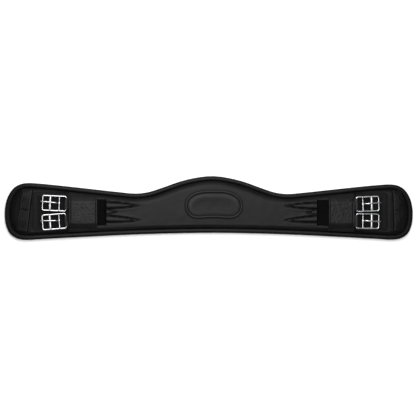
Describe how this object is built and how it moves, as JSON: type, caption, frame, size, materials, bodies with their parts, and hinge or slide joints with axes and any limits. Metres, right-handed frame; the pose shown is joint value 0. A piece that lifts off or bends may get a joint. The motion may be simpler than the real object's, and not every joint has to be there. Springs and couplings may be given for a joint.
{
  "type": "saddle girth",
  "caption": "Contoured short dressage girth: padded leather pad with a front bulge, elastic straps and paired roller buckles at each end.",
  "frame": {"origin": "on the resting (horse side) face, at the middle of the girth's length and width", "axes": "+X along the girth's length to the right end, +Y to the front edge with the bulge, +Z out of the outer face with the buckles"},
  "size_m": [0.8056, 0.1252, 0.0256],
  "materials": {
    "black_leather": "satin",
    "foam": "matte",
    "black_webbing": "matte",
    "stainless_steel": "polished"
  },
  "bodies": {
    "girth_pad": {"lining_cover": "black_leather", "belly_foam": "foam", "core_web": "black_webbing", "face_foam": "foam", "outer_cover": "black_leather", "edge_binding": "black_leather", "center_patch": "black_leather", "center_patch_piping": "black_leather", "left_buckle_guard": "black_leather", "left_sleeve": "black_leather", "left_end_keeper": "black_leather", "left_front_anchor": "black_webbing", "left_front_elastic": "black_webbing", "left_rear_anchor": "black_webbing", "left_rear_elastic": "black_webbing", "right_buckle_guard": "black_leather", "right_sleeve": "black_leather", "right_end_keeper": "black_leather", "right_front_anchor": "black_webbing", "right_front_elastic": "black_webbing", "right_rear_anchor": "black_webbing", "right_rear_elastic": "black_webbing"},
    "left_front_strap": {"left_front_chape": "black_leather"},
    "left_front_buckle": {"left_front_buckle_frame": "stainless_steel"},
    "left_front_roller_body": {"left_front_roller": "stainless_steel"},
    "left_front_tongue_body": {"left_front_tongue": "stainless_steel"},
    "left_rear_strap": {"left_rear_chape": "black_leather"},
    "left_rear_buckle": {"left_rear_buckle_frame": "stainless_steel"},
    "left_rear_roller_body": {"left_rear_roller": "stainless_steel"},
    "left_rear_tongue_body": {"left_rear_tongue": "stainless_steel"},
    "right_front_strap": {"right_front_chape": "black_leather"},
    "right_front_buckle": {"right_front_buckle_frame": "stainless_steel"},
    "right_front_roller_body": {"right_front_roller": "stainless_steel"},
    "right_front_tongue_body": {"right_front_tongue": "stainless_steel"},
    "right_rear_strap": {"right_rear_chape": "black_leather"},
    "right_rear_buckle": {"right_rear_buckle_frame": "stainless_steel"},
    "right_rear_roller_body": {"right_rear_roller": "stainless_steel"},
    "right_rear_tongue_body": {"right_rear_tongue": "stainless_steel"}
  },
  "joints": [
    {"name": "left_front_elastic_stretch", "type": "slide", "parent": "girth_pad", "child": "left_front_strap", "axis": [-0.999, 0.0436, 0], "range_m": [0, 0.012], "stiffness_N_per_m": 1500, "deforming": ["left_front_elastic"]},
    {"name": "left_front_buckle_lift", "type": "hinge", "parent": "left_front_strap", "child": "left_front_buckle", "pos_m": [-0.285, 0.00745, 0.0201], "axis": [0.0436, 0.999, 0], "range_deg": [0, 90]},
    {"name": "left_front_roller_turn", "type": "hinge", "parent": "left_front_buckle", "child": "left_front_roller_body", "pos_m": [-0.31557, 0.00878, 0.0201], "axis": [0.0436, 0.999, 0], "continuous": true},
    {"name": "left_front_tongue_lift", "type": "hinge", "parent": "left_front_buckle", "child": "left_front_tongue_body", "pos_m": [-0.29799, 0.00802, 0.0201], "axis": [0.0436, 0.999, 0], "range_deg": [0, 95]},
    {"name": "left_rear_elastic_stretch", "type": "slide", "parent": "girth_pad", "child": "left_rear_strap", "axis": [-0.9969, -0.0785, 0], "range_m": [0, 0.012], "stiffness_N_per_m": 1500, "deforming": ["left_rear_elastic"]},
    {"name": "left_rear_buckle_lift", "type": "hinge", "parent": "left_rear_strap", "child": "left_rear_buckle", "pos_m": [-0.285, -0.02505, 0.0201], "axis": [-0.0785, 0.9969, 0], "range_deg": [0, 90]},
    {"name": "left_rear_roller_turn", "type": "hinge", "parent": "left_rear_buckle", "child": "left_rear_roller_body", "pos_m": [-0.31551, -0.02745, 0.0201], "axis": [-0.0785, 0.9969, 0], "continuous": true},
    {"name": "left_rear_tongue_lift", "type": "hinge", "parent": "left_rear_buckle", "child": "left_rear_tongue_body", "pos_m": [-0.29796, -0.02607, 0.0201], "axis": [-0.0785, 0.9969, 0], "range_deg": [0, 95]},
    {"name": "right_front_elastic_stretch", "type": "slide", "parent": "girth_pad", "child": "right_front_strap", "axis": [0.9992, 0.0401, 0], "range_m": [0, 0.012], "stiffness_N_per_m": 1500, "deforming": ["right_front_elastic"]},
    {"name": "right_front_buckle_lift", "type": "hinge", "parent": "right_front_strap", "child": "right_front_buckle", "pos_m": [0.285, 0.00745, 0.0201], "axis": [0.0401, -0.9992, 0], "range_deg": [0, 90]},
    {"name": "right_front_roller_turn", "type": "hinge", "parent": "right_front_buckle", "child": "right_front_roller_body", "pos_m": [0.31557, 0.00868, 0.0201], "axis": [0.0401, -0.9992, 0], "continuous": true},
    {"name": "right_front_tongue_lift", "type": "hinge", "parent": "right_front_buckle", "child": "right_front_tongue_body", "pos_m": [0.29799, 0.00797, 0.0201], "axis": [0.0401, -0.9992, 0], "range_deg": [0, 95]},
    {"name": "right_rear_elastic_stretch", "type": "slide", "parent": "girth_pad", "child": "right_rear_strap", "axis": [0.9999, -0.014, 0], "range_m": [0, 0.012], "stiffness_N_per_m": 1500, "deforming": ["right_rear_elastic"]},
    {"name": "right_rear_buckle_lift", "type": "hinge", "parent": "right_rear_strap", "child": "right_rear_buckle", "pos_m": [0.285, -0.02505, 0.0201], "axis": [-0.014, -0.9999, 0], "range_deg": [0, 90]},
    {"name": "right_rear_roller_turn", "type": "hinge", "parent": "right_rear_buckle", "child": "right_rear_roller_body", "pos_m": [0.3156, -0.02548, 0.0201], "axis": [-0.014, -0.9999, 0], "continuous": true},
    {"name": "right_rear_tongue_lift", "type": "hinge", "parent": "right_rear_buckle", "child": "right_rear_tongue_body", "pos_m": [0.298, -0.02523, 0.0201], "axis": [-0.014, -0.9999, 0], "range_deg": [0, 95]}
  ]
}
